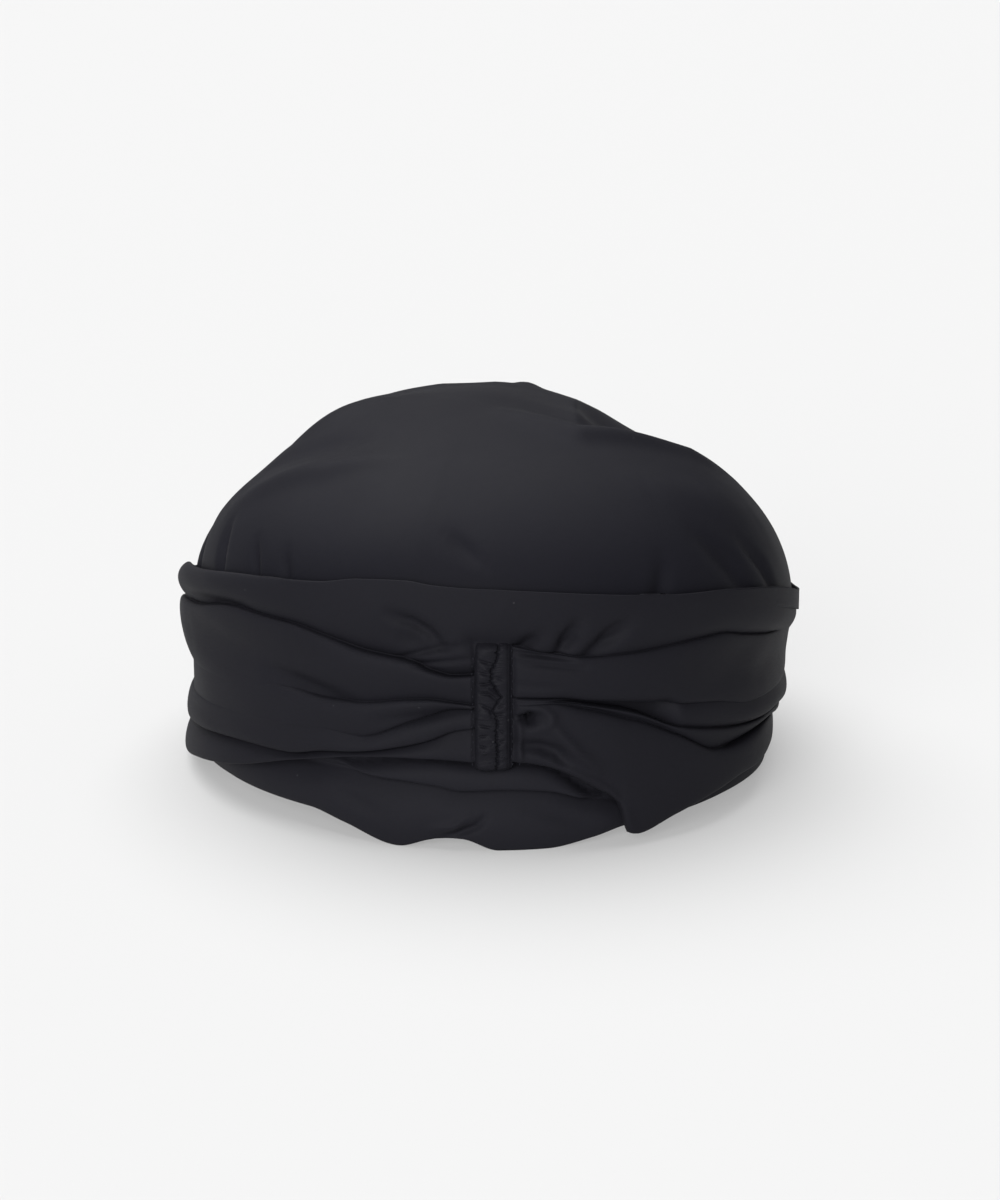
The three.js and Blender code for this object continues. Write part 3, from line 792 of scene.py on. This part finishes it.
def strip_relief(across, up):
    seam = np.interp(up, STRIP_SEAM_UP, STRIP_SEAM_ACROSS)
    seam += 0.35 * waver(up, step=1.9, seed=7) + 0.15 * waver(up, step=0.8, seed=3)
    left = np.clip((across - STRIP_LEFT) / (seam - STRIP_LEFT), 0, 1)
    right = np.clip((across - seam) / (STRIP_RIGHT - seam), 0, 1)
    puff = strip_puffs["left"] * roundness(left, 0.42) + strip_puffs["right"] * roundness(right, 0.5)
    margins = ease(0, STRIP_LEFT, STRIP_LEFT - across)
    margins += ease(0, STRIP_WIDTH - STRIP_RIGHT, across - STRIP_RIGHT)
    groove = STRIP_GROOVE * near(across - seam, 0.35)
    drawn = np.minimum(0.35 + near(across - seam, 1.7) + 0.3 * near(across - STRIP_LEFT, 1.0), 1)
    slanted = up + 0.35 * across * waver(up, step=9, seed=1)
    tucks = STRIP_TUCKS * waver(slanted, step=1.5, seed=4) * (0.5 + 0.5 * waver(up, step=5.3, seed=8))
    wavy = up + 0.5 * waver(across, step=2.3, seed=5)
    creases = STRIP_CREASES * waver(wavy, step=0.8, seed=9) * waver(across + up, step=3.1, seed=2)
    swells = STRIP_SWELLS * waver(up - 0.3 * across, step=6.1, seed=6)
    marks = mark_height(across, up, strip_marks, (1, 1))
    on_puffs = np.minimum(puff, 1)
    return puff - STRIP_SINKS * margins - groove + (tucks + creases) * drawn + (swells + marks) * on_puffs


def lay_strip(points):
    across = (points[:, 0] + 0.5) * STRIP_WIDTH
    up = (points[:, 1] + 0.5) * STRIP_HEIGHT
    from_end = np.minimum(up, STRIP_HEIGHT - up)
    ends = np.maximum(1 - from_end / STRIP_END_LENGTH, 0) ** 2
    off = PINCH_OFF + STRIP_STANDS + strip_relief(across, up) - STRIP_END_DEPTH * ends
    turn = STRIP_TURN + np.degrees((across - STRIP_WIDTH / 2) / STRIP_RADIUS)
    return around(turn, off, STRIP_FOOT + up), np.stack([across, up], 1) * MM


bm = bmesh.new()
bmesh.ops.create_grid(bm, x_segments=90, y_segments=300, size=0.5)
strip = lay_cloth("strip_cloth", bm, lay_strip, 0, STRIP_CLOTH)
strip.data.materials.append(satin("strip_satin", STRIP_COLOUR_WITH_PAINTED_LIGHT, 0.5))
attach(strip, "root")
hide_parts("gather_strip")


# The stitches
# Short stitches of grey-blue thread down both edges of the strip and down the flap's gathered edge.
THREAD_COLOUR = (0.016, 0.016, 0.022, 1)
THREAD_RADIUS = 0.11
STITCH_LENGTH = 0.8
STITCH_PITCH = 2.4
STITCH_STRAY = 0.25
STITCH_LEAN = 0.35  # radians
seams = [
    # how far across from the strip's left edge, from and up to how far above its foot, and how far out
    (-0.6, 1.0, 39.0, 0.35),
    (11.6, 1.0, 40.0, 0.15),
    (13.7, 1.2, 17.0, 0.9),
]


def sew(bm, across, low, high, out, seed):
    for number in range(int((high - low) / STITCH_PITCH)):
        up = low + (number + 0.5) * STITCH_PITCH
        side = across + STITCH_STRAY * math.sin(seed + 2.4 * number)
        turn = STRIP_TURN + math.degrees((side - STRIP_WIDTH / 2) / STRIP_RADIUS)
        spot = around(np.array([turn]), np.array([PINCH_OFF + out]), np.array([STRIP_FOOT + up]))[0]
        lean = Matrix.Rotation(STITCH_LEAN * math.sin(seed + 1.7 * number), 4, "Y")
        size = Matrix.Diagonal((THREAD_RADIUS, THREAD_RADIUS, STITCH_LENGTH / 2, 1)) * MM
        size[3][3] = 1
        bmesh.ops.create_uvsphere(
            bm, u_segments=10, v_segments=8, radius=1, matrix=Matrix.Translation(spot) @ lean @ size
        )


bm = bmesh.new()
for seed, seam in enumerate(seams):
    sew(bm, *seam, seed)
mesh = bpy.data.meshes.new("stitches")
for face in bm.faces:
    face.smooth = True
bm.to_mesh(mesh)
bm.free()
stitches = bpy.data.objects.new("stitches", mesh)
bpy.context.scene.collection.objects.link(stitches)
thread = bpy.data.materials.new("thread")
thread.use_nodes = True
shader = thread.node_tree.nodes["Principled BSDF"]
make = Wire(thread.node_tree)
place = make.node("ShaderNodeTexCoord", output="Object")
twist = make.node(
    "ShaderNodeTexWave", {"wave_type": "BANDS", "bands_direction": "DIAGONAL"}, Vector=place, Scale=900.0
)
fuzz = make.node("ShaderNodeTexNoise", Vector=place, Scale=2600.0, Detail=2.0)
bump = make.node("ShaderNodeBump", Strength=0.5, Distance=0.00008, Height=twist * 0.7 + fuzz * 0.3)
thread.node_tree.links.new(bump.socket, shader.inputs["Normal"])
thread.node_tree.links.new((fuzz * 0.3 + 0.4).socket, shader.inputs["Roughness"])
shader.inputs["Base Color"].default_value = THREAD_COLOUR
shader.inputs["Specular IOR Level"].default_value = 0.1
mesh.materials.append(thread)
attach(stitches, "root")
